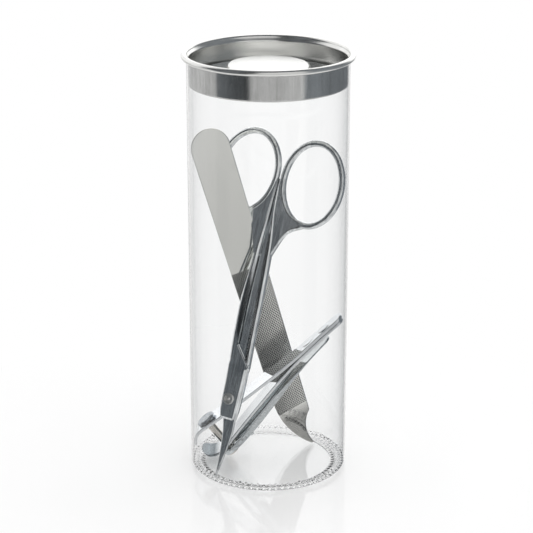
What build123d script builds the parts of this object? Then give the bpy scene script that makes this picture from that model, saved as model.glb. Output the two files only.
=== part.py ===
"""Clear tube case with a tinplate plug lid, holding nail scissors, a nail file and a nail clipper.

Millimetres, +Z up.  The origin is the centre of the tube's underside.  Front is -Y.
Each tool is drawn flat in a plane of its own and stands in the tube where that plane is placed.
"""
from build123d import *
from math import cos, radians, sin
import os

os.makedirs("parts", exist_ok=True)

# ---------------------------------------------------------------- tube and base
TUBE_OUTER_R = 20.0
TUBE_WALL = 0.35
TUBE_TOP_Z = 107.0
TUBE_CORNER_R = 1.5          # rounded lower corner, outside
CRIMP_WIDTH = 3.8            # how far the turned-in edge reaches inwards from the outside
BASE_THICKNESS = 0.5
BASE_GAP = 0.08              # base disc to tube wall, all round
TUBE_INNER_R = TUBE_OUTER_R - TUBE_WALL
TUBE_INNER_CORNER_R = TUBE_CORNER_R - TUBE_WALL
FLANGE_R = TUBE_OUTER_R - CRIMP_WIDTH
BASE_R = TUBE_INNER_R - TUBE_INNER_CORNER_R - BASE_GAP
BASE_TOP_Z = TUBE_WALL + BASE_THICKNESS

# ---------------------------------------------------------------- lid
LID_SHEET = 0.25             # tinplate
LID_PLUG_GAP = 0.08          # plug wall to tube wall, a sliding fit
LID_SEAT_GAP = 0.03          # shoulder above the tube's edge
LID_PLUG_DEPTH = 6.45        # plug wall below the tube's edge
LID_CURL_R = 0.7             # radius of the curled rim's section
LID_CURL_REACH = 0.58        # middle of the curl, outside the tube
LID_CURL_TURN = 285          # degrees of the rolled edge
LID_BEAD_WIDTH = 1.6         # the groove between plug wall and panel
LID_PANEL_RISE = 2.1         # panel above the bottom of the plug
LID_PLATFORM_R = 10.8
LID_PLATFORM_RISE = 2.55
LID_PLATFORM_SLOPE = 0.9     # how far the platform's side leans
LID_BEND_R = 0.45            # middle radius of the sheet's bends
LID_SHOULDER_BEND_R = 0.2    # tighter, over the tube's edge
LID_WALL_R = TUBE_INNER_R - LID_PLUG_GAP - LID_SHEET / 2     # middle of the plug wall's sheet
LID_CURL_CENTRE_R = TUBE_OUTER_R + LID_CURL_REACH
LID_SHOULDER_Z = TUBE_TOP_Z + LID_SEAT_GAP + LID_SHEET / 2
LID_FOOT_Z = TUBE_TOP_Z - LID_PLUG_DEPTH + LID_SHEET / 2
LID_PANEL_Z = LID_FOOT_Z + LID_PANEL_RISE
LID_PLATFORM_Z = LID_PANEL_Z + LID_PLATFORM_RISE

# ---------------------------------------------------------------- scissors
SCISSORS_TIP_HEIGHT = 0.314  # above the base
SCISSORS_HEAD_HEIGHT = 77.6
SCISSORS_FOOT = (-14.416, -12.754, BASE_TOP_Z + SCISSORS_TIP_HEIGHT)  # level with the blades' tips
SCISSORS_HEAD = (3.8, 6.4, BASE_TOP_Z + SCISSORS_HEAD_HEIGHT)         # point between the two rings
SCISSORS_TURN = -23.5        # degrees about their long axis
SHANK_THICKNESS = 2.1
SHANK_GAP = 0.05             # each shank to the middle line
SHANK_NECK_V = 38.5          # heights above the pivot
SHANK_MIDDLE_V = 26.0
SHANK_LOW_V = 16.0
RIGHT_SHANK = (2.45, 3.0, 3.3, 3.6)  # outer edge at the neck, middle, low and step heights
LEFT_SHANK = (2.2, 3.0, 2.7, 2.3)
STEP_INNER_V = 12.7          # the slanted step at the lap joint, on the middle line
STEP_OUTER_V = 8.7           # and at the outer edge
STEP_GAP = 0.12
PLATE_GAP = 0.03             # lap faces
PLATE_WAIST_V = 4.0
PLATE_HEEL_V = -2.9
FRONT_PLATE = (-1.95, -1.8, -1.6, 2.9)   # own edge at the waist, pivot and heel, and far edge
REAR_PLATE = (3.95, 3.9, 3.6, -1.6)
BLADE_ROOT_V = -5.2
BLADE_LENGTH = 20.7          # pivot to tip
BLADE_TIP_U = 1.05
BLADE_ROOT_WIDTH = 3.4
BLADE_ROOT_U = 1.2
BLADE_MIDDLE_WIDTH = 2.3
BLADE_MIDDLE_U = 1.65
BLADE_REAR_INSET = 0.15      # the rear blade is narrower than the front one
BLADE_THICKNESS = 0.8
RIGHT_RING = (8.7, 57.6, 1.0)    # middle of a finger ring and its tilt
LEFT_RING = (-8.75, 57.35, -6.5)
RING_OUTER = (8.55, 11.3)    # half width and half length
RING_WIRE = 1.5
RING_THICKNESS = 1.8
WEB_THICKNESS = 1.1
RIGHT_WEB = (8.7, 46.4, 4.9, 43.9)      # outside of the web: its start on the ring and a point below
LEFT_WEB = (-6.3, 47.1, -3.6, 46.1)     # the left one is slimmer, beside the file
SCREW_R = 1.0
SCREW_GAP = 0.04             # running fit in the front half
SCREW_HEAD_R = 1.45
SCREW_HEAD_HEIGHT = 0.5
SCREW_HEAD_GAP = 0.05
SCREW_HEAD_EDGE = 0.3
HALF_SHANK = (SHANK_THICKNESS - PLATE_GAP) / 2     # thickness of each lap plate

# ---------------------------------------------------------------- nail file
FILE_TIP_HEIGHT = 0.25       # above the base
FILE_HEAD_HEIGHT = 88.4
FILE_FOOT = (11.9, 8.9, BASE_TOP_Z + FILE_TIP_HEIGHT)        # claw tip
FILE_HEAD = (-14.1, 1.3, BASE_TOP_Z + FILE_HEAD_HEIGHT)      # middle of the round end
FILE_TURN = 11.2
FILE_THICKNESS = 0.7
FILE_LENGTH = 92.3
FILE_LEFT = 6.75             # left edge, from the claw tip
FILE_RIGHT_TOP = 3.25
FILE_RIGHT_BOTTOM = 1.8
FILE_LEFT_SHOULDER_V = 13.5  # where the claw begins, left and right
FILE_RIGHT_SHOULDER_V = 9.6
CLAW_THROAT = (-0.45, 4.9)   # deepest point of the claw's hollow side
CLAW_BACK = (-4.9, 6.1)      # a point on its round side
CLAW_TIP_WIDTH = 0.8

# ---------------------------------------------------------------- clipper
CLIPPER_REAR_HEIGHT = 39.4   # above the base
CLIPPER_REAR = (18.75, 0.5, BASE_TOP_Z + CLIPPER_REAR_HEIGHT)    # in the middle of the width
CLIPPER_SLOPE = 43.6         # degrees below level, from rear to jaws
LEAF_REAR_WIDTH = 4.4
LEAF_FRONT_WIDTH = 7.3
LOWER_LEAF_SETBACK = 0.3     # the lower leaf ends this far in front of the upper one
LEAF_REAR_END = 8.0          # the narrow stretch ends here
LEAF_FRONT_START = 22.0      # full width from here on
LEAF_LENGTH = 51.7
LEAF_EDGE_BULGE = 0.7        # the cutting edge's middle stands in front of its corners
UPPER_LEAF_THICKNESS = 0.85
LOWER_LEAF_THICKNESS = 0.75
LEAF_LAP_T = -0.3            # upper leaf's inner face at the rear
LEAF_LAP_GAP = 0.03
LEAF_FLAT = 13.5             # both leaves are flat up to here
LEAF_MIDDLE = 28.0
UPPER_JAW_LENGTH = 4.9       # throat to cutting edge
LOWER_JAW_LENGTH = 5.2
UPPER_MIDDLE_T = 0.5         # upper leaf's inner face there
UPPER_THROAT = (LEAF_LENGTH - UPPER_JAW_LENGTH, 2.15)  # where the upper jaw turns down
UPPER_SLOPE = 0.16           # slope of the leaf at its throat
UPPER_EDGE_T = -0.05         # upper cutting edge
LOWER_MIDDLE_T = -1.65       # lower leaf's inner face
LOWER_THROAT = (LEAF_LENGTH - LOWER_JAW_LENGTH, -4.85)
LOWER_SLOPE = -0.2
LOWER_EDGE_T = -1.95         # lower cutting edge
JAW_EDGE_THICKNESS = 0.35
RIVET_STATION = 5.9
RIVET_R = 1.1
RIVET_HEAD_R = 1.75
RIVET_HEAD_HEIGHT = 0.18
RIVET_GAP = 0.05
RIVET_HEAD_EDGE = 0.1
FLUSH_RIVET_STATION = 11.5
FLUSH_RIVET_R = 1.4
POST_SETBACK = 6.2           # behind the cutting edges
POST_STATION = LEAF_LENGTH - POST_SETBACK      # where the post's axis crosses the middle line
POST_LEAN = 5.0              # degrees; its foot is nearer to the jaws than its head
POST_R = 1.05
POST_HOLE_R = 1.6
POST_HEAD_R = 2.3
POST_HEAD_HEIGHT = 0.85
POST_HEAD_EDGE = 0.3         # straight part of the head's side
POST_HEAD_T = 2.95           # underside of the head
POST_FOOT_R = 1.8
POST_FOOT_HEIGHT = 0.5
POST_FOOT_GAP = 0.25
LEVER_SHEET = 0.7
LEVER_FRONT_WIDTH = 6.6
LEVER_TAIL_WIDTH = 4.6
LEVER_FRONT_REACH = 2.8      # in front of the post
LEVER_KNEE_SETBACK = 4.5     # behind the post
LEVER_FLOOR_SETBACK = 2.3
LEVER_RIB_SETBACK = 6.6
LEVER_TAIL = (6.4, -1.8)     # inner edge at the tail
LEVER_MIDDLE = (27.0, -3.65)
LEVER_KNEE = (POST_STATION - LEVER_KNEE_SETBACK, -6.0)
LEVER_FRONT = (POST_STATION + LEVER_FRONT_REACH, -6.3)
LEVER_TAIL_DEPTH = 0.55
LEVER_MIDDLE_DEPTH = 1.5
LEVER_KNEE_DEPTH = 1.3
LEVER_FLOOR = (POST_STATION - LEVER_FLOOR_SETBACK, -7.6)     # outer face round the post starts
LEVER_HOLE_R = 1.3
LEVER_RIB_STATION = POST_STATION - LEVER_RIB_SETBACK
LEVER_RIB_WIDTH = 4.0
LEVER_RIB_R = 0.75
LEVER_RIB_T = -7.1         # middle of the rib, on the outer face


def tool_plane(foot, head, turn):
    """Plane with its origin at foot, its Y along the tool towards head and its Z towards the front."""
    along = (Vector(*head) - Vector(*foot)).normalized()
    forward = Vector(0, -1, 0)
    face = (forward - along * forward.dot(along)).normalized()
    face = face.rotate(Axis((0, 0, 0), along), turn)
    return Plane(origin=foot, x_dir=along.cross(face), z_dir=face)


def write(part, name):
    """Label a piece and write its STEP file."""
    part.label = name
    export_step(part, f"parts/{name}.step")


# ================================================================ case
with BuildPart() as tube_wall:
    with BuildSketch(Plane.XZ):
        with BuildLine():
            underside = Line((FLANGE_R, 0), (TUBE_OUTER_R - TUBE_CORNER_R, 0))
            corner = JernArc(underside @ 1, (1, 0), TUBE_CORNER_R, 90)
            outside = Line(corner @ 1, (TUBE_OUTER_R, TUBE_TOP_Z))
            top_edge = Line(outside @ 1, (TUBE_INNER_R, TUBE_TOP_Z))
            inside = Line(top_edge @ 1, (TUBE_INNER_R, TUBE_CORNER_R))
            inner_corner = JernArc(inside @ 1, (0, -1), TUBE_INNER_CORNER_R, -90)
            seat = Line(inner_corner @ 1, (FLANGE_R, TUBE_WALL))
            Line(seat @ 1, underside @ 0)
        make_face()
    revolve(axis=Axis.Z)
write(tube_wall.part, "tube_wall")

with BuildPart() as base_disc:
    with BuildSketch(Plane.XY.offset(TUBE_WALL)):
        Circle(BASE_R)
    extrude(amount=BASE_THICKNESS)
write(base_disc.part, "base_disc")

with BuildPart() as lid:
    with BuildSketch(Plane.XZ):
        with BuildLine():
            sheet = FilletPolyline(
                (0, LID_PLATFORM_Z),
                (LID_PLATFORM_R - LID_PLATFORM_SLOPE, LID_PLATFORM_Z),
                (LID_PLATFORM_R, LID_PANEL_Z),
                (LID_WALL_R - LID_BEAD_WIDTH, LID_PANEL_Z),
                (LID_WALL_R - LID_BEAD_WIDTH, LID_FOOT_Z),
                (LID_WALL_R, LID_FOOT_Z),
                (LID_WALL_R, LID_SHOULDER_Z),
                (LID_CURL_CENTRE_R, LID_SHOULDER_Z),
                radius=[LID_BEND_R] * 5 + [LID_SHOULDER_BEND_R],
            )
            JernArc(sheet @ 1, (1, 0), LID_CURL_R - LID_SHEET / 2, LID_CURL_TURN)
        trace(line_width=LID_SHEET)
    revolve(axis=Axis.Z)
write(lid.part, "lid")


# ================================================================ scissors
tips_plane = tool_plane(SCISSORS_FOOT, SCISSORS_HEAD, SCISSORS_TURN)
scissors_plane = Plane(
    origin=tips_plane.from_local_coords((0, BLADE_LENGTH, 0)),
    x_dir=tips_plane.x_dir,
    z_dir=tips_plane.z_dir,
)


def shank_outline(side, shank):
    """Shank of one half, on the side given by +1 or -1, from its slanted step up to the neck."""
    heights = (SHANK_NECK_V, SHANK_MIDDLE_V, SHANK_LOW_V, STEP_OUTER_V)
    with BuildSketch(scissors_plane) as outline:
        with BuildLine():
            outer = Spline(*[(side * width, height) for width, height in zip(shank, heights)])
            step = Line(outer @ 1, (side * SHANK_GAP, STEP_INNER_V))
            inner = Line(step @ 1, (side * SHANK_GAP, SHANK_NECK_V))
            Line(inner @ 1, outer @ 0)
        make_face()
    return outline.sketch


def web_outline(side, shank, ring, web):
    """Thin web between the neck and the ring."""
    with BuildSketch(scissors_plane) as outline:
        with BuildLine():
            neck = Line((side * shank[0], SHANK_NECK_V), (side * SHANK_GAP, SHANK_NECK_V))
            inner = Line(neck @ 1, (side * SHANK_GAP, ring[1]))
            across = Line(inner @ 1, (side * RING_WIRE / 2, ring[1]))
            inside = Line(across @ 1, (web[0], web[1]))
            Spline(inside @ 1, (web[2], web[3]), neck @ 0, tangents=((-side, 0), (0, -1)))
        make_face()
        with Locations(ring_place(ring)):
            Ellipse(RING_OUTER[0] - RING_WIRE, RING_OUTER[1] - RING_WIRE, mode=Mode.SUBTRACT)
    return outline.sketch


def ring_place(ring):
    """Middle and tilt of one finger ring."""
    return Location((ring[0], ring[1], 0), (0, 0, ring[2]))


def ring_outline(ring):
    """One oval finger ring."""
    with BuildSketch(scissors_plane) as outline:
        with Locations(ring_place(ring)):
            Ellipse(RING_OUTER[0], RING_OUTER[1])
            Ellipse(RING_OUTER[0] - RING_WIRE, RING_OUTER[1] - RING_WIRE, mode=Mode.SUBTRACT)
    return outline.sketch


def blade_outline(plane, inset):
    """Blade below the lap plate, smaller all round by inset."""
    half_root = BLADE_ROOT_WIDTH / 2 - inset
    half_middle = BLADE_MIDDLE_WIDTH / 2 - inset
    with BuildSketch(plane) as outline:
        with BuildLine():
            left = Spline(
                (BLADE_ROOT_U - half_root, BLADE_ROOT_V),
                (BLADE_MIDDLE_U - half_middle, -BLADE_LENGTH / 2),
                (BLADE_TIP_U, inset - BLADE_LENGTH),
            )
            right = Spline(
                left @ 1,
                (BLADE_MIDDLE_U + half_middle, -BLADE_LENGTH / 2),
                (BLADE_ROOT_U + half_root, BLADE_ROOT_V),
            )
            Line(right @ 1, left @ 0)
        make_face()
    return outline.sketch


def plate_outline(plane, side, shank, far_shank, plate, inset, hole_r):
    """Lap plate of one half, below its own shank and the other one's slanted step."""
    half_root = BLADE_ROOT_WIDTH / 2 - inset
    with BuildSketch(plane) as outline:
        with BuildLine():
            near = Spline(
                (side * shank[3], STEP_OUTER_V),
                (plate[0], PLATE_WAIST_V),
                (plate[1], 0),
                (plate[2], PLATE_HEEL_V),
                (BLADE_ROOT_U + side * half_root, BLADE_ROOT_V),
            )
            foot = Line(near @ 1, (BLADE_ROOT_U - side * half_root, BLADE_ROOT_V))
            far = Spline(foot @ 1, (plate[3], 0), (-side * far_shank[3], STEP_OUTER_V - STEP_GAP))
            step = Line(far @ 1, (side * SHANK_GAP, STEP_INNER_V - STEP_GAP))
            rise = Line(step @ 1, (side * SHANK_GAP, STEP_INNER_V))
            Line(rise @ 1, near @ 0)
        make_face()
        Circle(hole_r, mode=Mode.SUBTRACT)
    return outline.sketch


rear_lap = scissors_plane.offset(-PLATE_GAP / 2)
rear_plate = plate_outline(rear_lap, 1, RIGHT_SHANK, LEFT_SHANK, REAR_PLATE, BLADE_REAR_INSET, SCREW_R)
with BuildPart() as scissors_right_half:
    extrude(shank_outline(1, RIGHT_SHANK), amount=SHANK_THICKNESS / 2, both=True)
    extrude(web_outline(1, RIGHT_SHANK, RIGHT_RING, RIGHT_WEB), amount=WEB_THICKNESS / 2, both=True)
    extrude(ring_outline(RIGHT_RING), amount=RING_THICKNESS / 2, both=True)
    extrude(rear_plate, amount=-HALF_SHANK)
    extrude(blade_outline(rear_lap, BLADE_REAR_INSET), amount=-BLADE_THICKNESS)
write(scissors_right_half.part, "scissors_right_half")

front_lap = scissors_plane.offset(PLATE_GAP / 2)
front_plate = plate_outline(front_lap, -1, LEFT_SHANK, RIGHT_SHANK, FRONT_PLATE, 0, SCREW_R + SCREW_GAP)
with BuildPart() as scissors_left_half:
    extrude(shank_outline(-1, LEFT_SHANK), amount=SHANK_THICKNESS / 2, both=True)
    extrude(web_outline(-1, LEFT_SHANK, LEFT_RING, LEFT_WEB), amount=WEB_THICKNESS / 2, both=True)
    extrude(ring_outline(LEFT_RING), amount=RING_THICKNESS / 2, both=True)
    extrude(front_plate, amount=HALF_SHANK)
    extrude(blade_outline(front_lap, 0), amount=BLADE_THICKNESS)
write(scissors_left_half.part, "scissors_left_half")

screw_head_plane = scissors_plane.offset(SHANK_THICKNESS / 2 + SCREW_HEAD_GAP)
with BuildPart() as scissors_screw:
    with BuildSketch(scissors_plane.offset(-SHANK_THICKNESS / 2)):
        Circle(SCREW_R)
    extrude(amount=SHANK_THICKNESS + SCREW_HEAD_GAP)
    with BuildSketch(screw_head_plane):
        Circle(SCREW_HEAD_R)
    extrude(amount=SCREW_HEAD_HEIGHT)
    outward = Axis(scissors_plane.origin, scissors_plane.z_dir)
    fillet(scissors_screw.edges().group_by(outward)[-1], radius=SCREW_HEAD_EDGE)
write(scissors_screw.part, "scissors_screw")

# ================================================================ nail file
file_plane = tool_plane(FILE_FOOT, FILE_HEAD, FILE_TURN)
with BuildPart() as nail_file:
    with BuildSketch(file_plane):
        with BuildLine():
            half_width = (FILE_RIGHT_TOP + FILE_LEFT) / 2
            tip = Line((-CLAW_TIP_WIDTH / 2, 0), (CLAW_TIP_WIDTH / 2, 0))
            hollow = ThreePointArc(tip @ 1, CLAW_THROAT, (FILE_RIGHT_BOTTOM, FILE_RIGHT_SHOULDER_V))
            right_edge = Line(hollow @ 1, (FILE_RIGHT_TOP, FILE_LENGTH - half_width))
            crown = (FILE_RIGHT_TOP - half_width, FILE_LENGTH)
            top_round = ThreePointArc(right_edge @ 1, crown, (-FILE_LEFT, FILE_LENGTH - half_width))
            left_edge = Line(top_round @ 1, (-FILE_LEFT, FILE_LEFT_SHOULDER_V))
            ThreePointArc(left_edge @ 1, CLAW_BACK, tip @ 0)
        make_face()
    extrude(amount=FILE_THICKNESS / 2, both=True)
write(nail_file.part, "nail_file")

# ================================================================ clipper
slope = radians(CLIPPER_SLOPE)
clipper_along = Vector(-cos(slope), 0, -sin(slope))
clipper_up = Vector(-sin(slope), 0, cos(slope))
clipper_side = Plane(origin=CLIPPER_REAR, x_dir=clipper_along, z_dir=(0, 1, 0))
clipper_flat = Plane(origin=CLIPPER_REAR, x_dir=clipper_along, z_dir=clipper_up)
post_plane = Plane(
    origin=clipper_side.from_local_coords((POST_STATION, 0, 0)),
    x_dir=clipper_along,
    z_dir=clipper_up.rotate(Axis((0, 0, 0), (0, 1, 0)), POST_LEAN),
)
CLIPPER_DEPTH = 20.0         # more than the whole clipper's depth, for cuts


def leaf_side(lap, middle, throat, slope_end, edge_t, thickness):
    """Side view of one leaf: inner face heights at the rear, middle, throat and cutting edge."""
    ends = ((1, 0), (1, slope_end))
    outer_throat = (throat[0], throat[1] + thickness)
    with BuildSketch(clipper_side) as outline:
        with BuildLine():
            inner_flat = Line((0, lap), (LEAF_FLAT, lap))
            inner = Spline(inner_flat @ 1, (LEAF_MIDDLE, middle), throat, tangents=ends)
            corner = (LEAF_LENGTH - JAW_EDGE_THICKNESS, edge_t)
            jaw_inner = TangentArc(inner @ 1, corner, tangent=inner % 1)
            edge = Line(jaw_inner @ 1, (LEAF_LENGTH, edge_t))
            outer_flat = Line((0, lap + thickness), (LEAF_FLAT, lap + thickness))
            outer_middle = (LEAF_MIDDLE, middle + thickness)
            outer = Spline(outer_flat @ 1, outer_middle, outer_throat, tangents=ends)
            TangentArc(outer @ 1, edge @ 1, tangent=outer % 1)
            Line(outer_flat @ 0, inner_flat @ 0)
        make_face()
    return outline.sketch


def leaf_plan(rear_s, rivet_gap):
    """One leaf seen from above: narrow and round at the rear, with a curved cutting edge."""
    rear = LEAF_REAR_WIDTH / 2
    front = LEAF_FRONT_WIDTH / 2
    corner_s = LEAF_LENGTH - LEAF_EDGE_BULGE
    with BuildSketch(clipper_flat) as outline:
        with BuildLine():
            rear_round = ThreePointArc((rear_s + rear, -rear), (rear_s, 0), (rear_s + rear, rear))
            narrow = Line(rear_round @ 1, (LEAF_REAR_END, rear))
            widening = Line(narrow @ 1, (LEAF_FRONT_START, front))
            wide = Line(widening @ 1, (corner_s, front))
            edge = ThreePointArc(wide @ 1, (LEAF_LENGTH, 0), (corner_s, -front))
            Polyline(edge @ 1, (LEAF_FRONT_START, -front), (LEAF_REAR_END, -rear), rear_round @ 0)
        make_face()
        with Locations((RIVET_STATION, 0)):
            Circle(RIVET_R + rivet_gap, mode=Mode.SUBTRACT)
        with Locations((FLUSH_RIVET_STATION, 0)):
            Circle(FLUSH_RIVET_R + rivet_gap, mode=Mode.SUBTRACT)
    return outline.sketch


def post_bore(radius):
    """Round opening on the post's axis."""
    with BuildSketch(post_plane) as outline:
        Circle(radius)
    return outline.sketch


upper_side = leaf_side(
    LEAF_LAP_T, UPPER_MIDDLE_T, UPPER_THROAT, UPPER_SLOPE, UPPER_EDGE_T, UPPER_LEAF_THICKNESS
)
with BuildPart() as clipper_upper_leaf:
    extrude(upper_side, amount=LEAF_FRONT_WIDTH / 2, both=True)
    extrude(leaf_plan(0, 0), amount=CLIPPER_DEPTH, both=True, mode=Mode.INTERSECT)
    extrude(post_bore(POST_HOLE_R), amount=CLIPPER_DEPTH, both=True, mode=Mode.SUBTRACT)
write(clipper_upper_leaf.part, "clipper_upper_leaf")

LOWER_LAP_T = LEAF_LAP_T - LEAF_LAP_GAP
lower_side = leaf_side(
    LOWER_LAP_T, LOWER_MIDDLE_T, LOWER_THROAT, LOWER_SLOPE, LOWER_EDGE_T, -LOWER_LEAF_THICKNESS
)
with BuildPart() as clipper_lower_leaf:
    extrude(lower_side, amount=LEAF_FRONT_WIDTH / 2, both=True)
    extrude(leaf_plan(LOWER_LEAF_SETBACK, RIVET_GAP), amount=CLIPPER_DEPTH, both=True, mode=Mode.INTERSECT)
    extrude(post_bore(POST_HOLE_R), amount=CLIPPER_DEPTH, both=True, mode=Mode.SUBTRACT)
write(clipper_lower_leaf.part, "clipper_lower_leaf")

RIVET_FOOT_T = LOWER_LAP_T - LOWER_LEAF_THICKNESS
RIVET_TOP_T = LEAF_LAP_T + UPPER_LEAF_THICKNESS
with BuildPart() as clipper_rivets:
    with BuildSketch(clipper_flat.offset(RIVET_FOOT_T)):
        with Locations((RIVET_STATION, 0)):
            Circle(RIVET_R)
        with Locations((FLUSH_RIVET_STATION, 0)):
            Circle(FLUSH_RIVET_R)
    extrude(amount=RIVET_TOP_T - RIVET_FOOT_T)
    with BuildSketch(clipper_flat.offset(RIVET_TOP_T)):
        with Locations((RIVET_STATION, 0)):
            Circle(RIVET_HEAD_R)
    extrude(amount=RIVET_HEAD_HEIGHT)
    clipper_top = Axis(CLIPPER_REAR, clipper_up)
    fillet(clipper_rivets.edges().group_by(clipper_top)[-1], radius=RIVET_HEAD_EDGE)
write(clipper_rivets.part, "clipper_rivets")

POST_FOOT_T = LEVER_FLOOR[1] - POST_FOOT_GAP
with BuildPart() as clipper_post:
    with BuildSketch(post_plane.offset(POST_FOOT_T - POST_FOOT_HEIGHT)):
        Circle(POST_FOOT_R)
    extrude(amount=POST_FOOT_HEIGHT)
    with BuildSketch(post_plane.offset(POST_FOOT_T)):
        Circle(POST_R)
    extrude(amount=POST_HEAD_T - POST_FOOT_T)
    with BuildSketch(post_plane.offset(POST_HEAD_T)):
        Circle(POST_HEAD_R)
    extrude(amount=POST_HEAD_HEIGHT)
    post_axis = Axis(post_plane.origin, post_plane.z_dir)
    fillet(clipper_post.edges().group_by(post_axis)[-1], radius=POST_HEAD_HEIGHT - POST_HEAD_EDGE)
write(clipper_post.part, "clipper_post")


def lever_plan(inset):
    """The lever seen from above, smaller all round by inset."""
    tail = LEVER_TAIL_WIDTH / 2 - inset
    front = LEVER_FRONT_WIDTH / 2 - inset
    tail_s = LEVER_TAIL[0] + inset
    front_s = LEVER_FRONT[0] - inset
    with BuildSketch(clipper_flat) as outline:
        with BuildLine():
            tail_round = ThreePointArc((tail_s + tail, -tail), (tail_s, 0), (tail_s + tail, tail))
            side = Line(tail_round @ 1, (front_s - front, front))
            front_round = ThreePointArc(side @ 1, (front_s, 0), (front_s - front, -front))
            Line(front_round @ 1, tail_round @ 0)
        make_face()
    return outline.sketch


def lever_side(inner_points, lift):
    """The lever seen from the side: its outer face, lifted inwards by lift, closed by inner_points."""
    knee_s = LEVER_KNEE[0] - LEVER_KNEE_DEPTH
    with BuildSketch(clipper_side) as outline:
        with BuildLine():
            outer = Spline(
                (LEVER_TAIL[0], LEVER_TAIL[1] - LEVER_TAIL_DEPTH + lift),
                (LEVER_MIDDLE[0], LEVER_MIDDLE[1] - LEVER_MIDDLE_DEPTH + lift),
                (knee_s, LEVER_KNEE[1] - LEVER_KNEE_DEPTH + lift),
                (LEVER_FLOOR[0], LEVER_FLOOR[1] + lift),
            )
            floor = Line(outer @ 1, (LEVER_FRONT[0], LEVER_FLOOR[1] + lift))
            Polyline(floor @ 1, *inner_points, outer @ 0)
        make_face()
    return outline.sketch


above_leaves = ((LEVER_FRONT[0], CLIPPER_DEPTH), (LEVER_TAIL[0], CLIPPER_DEPTH))
with BuildPart() as lever_pocket:
    extrude(lever_side(above_leaves, LEVER_SHEET), amount=LEVER_FRONT_WIDTH / 2, both=True)
    extrude(lever_plan(LEVER_SHEET), amount=CLIPPER_DEPTH, both=True, mode=Mode.INTERSECT)

with BuildPart() as clipper_lever:
    inner_edge = (LEVER_FRONT, LEVER_KNEE, LEVER_MIDDLE, LEVER_TAIL)
    extrude(lever_side(inner_edge, 0), amount=LEVER_FRONT_WIDTH / 2, both=True)
    extrude(lever_plan(0), amount=CLIPPER_DEPTH, both=True, mode=Mode.INTERSECT)
    add(lever_pocket.part, mode=Mode.SUBTRACT)
    with BuildSketch(clipper_side):
        with Locations((LEVER_RIB_STATION, LEVER_RIB_T)):
            Circle(LEVER_RIB_R)
    extrude(amount=LEVER_RIB_WIDTH / 2, both=True)
    extrude(post_bore(LEVER_HOLE_R), amount=CLIPPER_DEPTH, both=True, mode=Mode.SUBTRACT)
write(clipper_lever.part, "clipper_lever")
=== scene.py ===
"""Clear tube case with a metal plug lid, holding nail scissors, a nail file and a nail clipper.

Metres, +Z up, front is -Y.  Each tool is modelled flat in millimetres, in a plane of its own,
and is placed in the tube by that plane's matrix.
"""

from functools import partial
from math import atan2, cos, hypot, pi, radians, sin

import bmesh
import bpy
from mathutils import Matrix, Quaternion, Vector
from mathutils.geometry import interpolate_bezier
from mathutils.noise import noise


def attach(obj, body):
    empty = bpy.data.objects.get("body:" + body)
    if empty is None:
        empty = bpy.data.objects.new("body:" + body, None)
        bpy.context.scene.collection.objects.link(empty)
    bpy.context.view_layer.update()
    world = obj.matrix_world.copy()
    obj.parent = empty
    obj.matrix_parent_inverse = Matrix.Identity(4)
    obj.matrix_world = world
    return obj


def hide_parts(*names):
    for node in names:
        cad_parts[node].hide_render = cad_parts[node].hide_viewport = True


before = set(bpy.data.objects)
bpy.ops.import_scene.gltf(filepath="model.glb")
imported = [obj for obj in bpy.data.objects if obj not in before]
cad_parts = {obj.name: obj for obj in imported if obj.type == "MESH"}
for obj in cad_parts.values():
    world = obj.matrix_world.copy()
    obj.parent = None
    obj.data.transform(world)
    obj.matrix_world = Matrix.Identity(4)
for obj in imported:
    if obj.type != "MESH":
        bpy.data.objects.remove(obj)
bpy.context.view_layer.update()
scene = bpy.context.scene

MM = 0.001

# ---------------------------------------------------------------- sizes, in millimetres
NEAR = 0.01                    # heights and outline points closer than this are one
MERGE = 0.002                  # doubles in a mesh are merged within this
TUBE_OUTER_R = 20.0
TUBE_WALL = 0.35
TUBE_INNER_R = TUBE_OUTER_R - TUBE_WALL
TUBE_TOP_Z = 107.0
TUBE_CORNER_R = 1.5
TUBE_ROWS = (2.0, 2.6, 3.4, TUBE_TOP_Z)     # heights of the wall's rows of points
CORNER_SPLIT_R = 1.3           # parts the corner's outside from its inside
CORNER_STEPS = 8
FLANGE_R = 16.2
FLANGE_STEPS = 8
PLEATS = 76
PLEAT_FACES = 6                # faces round one pleat
PLEAT_HEIGHT = 1.15
PLEAT_OUTSIDE = 0.8            # share of that height on the outside
PLEAT_RISE = 0.5
PLEAT_UNEVEN = 0.35
PLEAT_INNER = (0.2, 2.1)       # from the flange's edge: where the pleats start, and their ramp
PLEAT_OUTER = (0.3, 0.9)       # the same from the tube's outside inwards
DISC_R = 17.5
DISC_THICKNESS = 0.5
BASE_TOP_Z = TUBE_WALL + DISC_THICKNESS

LID_SHEET = 0.25
LID_FIT = 0.08                 # free gap between the plug wall and the tube
LID_SEAT = 0.03                # and between the shoulder and the tube's edge
LID_WALL_R = TUBE_INNER_R - LID_FIT - LID_SHEET / 2
LID_SHOULDER_Z = TUBE_TOP_Z + LID_SEAT + LID_SHEET / 2
LID_FOOT_Z = TUBE_TOP_Z - 6.45 + LID_SHEET / 2
LID_PANEL_Z = LID_FOOT_Z + 2.1
LID_PLATFORM_Z = LID_PANEL_Z + 2.55
LID_PLATFORM_R = 10.8
LID_PLATFORM_SLANT = 0.9
LID_GROOVE = 1.6
LID_FLARE_DROP = 0.1           # the wall starts to flare this far below the shoulder
LID_BENDS = (0.45, 0.45, 0.45, 0.45, 0.45, 0.15)
LID_RIM_R = TUBE_OUTER_R + 1.28 - LID_SHEET / 2
LID_ROLL_R = 0.6
LID_ROLL_Z = LID_SHOULDER_Z + 1.15 - LID_ROLL_R
LID_ROLL_TURN = 245            # degrees

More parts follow.
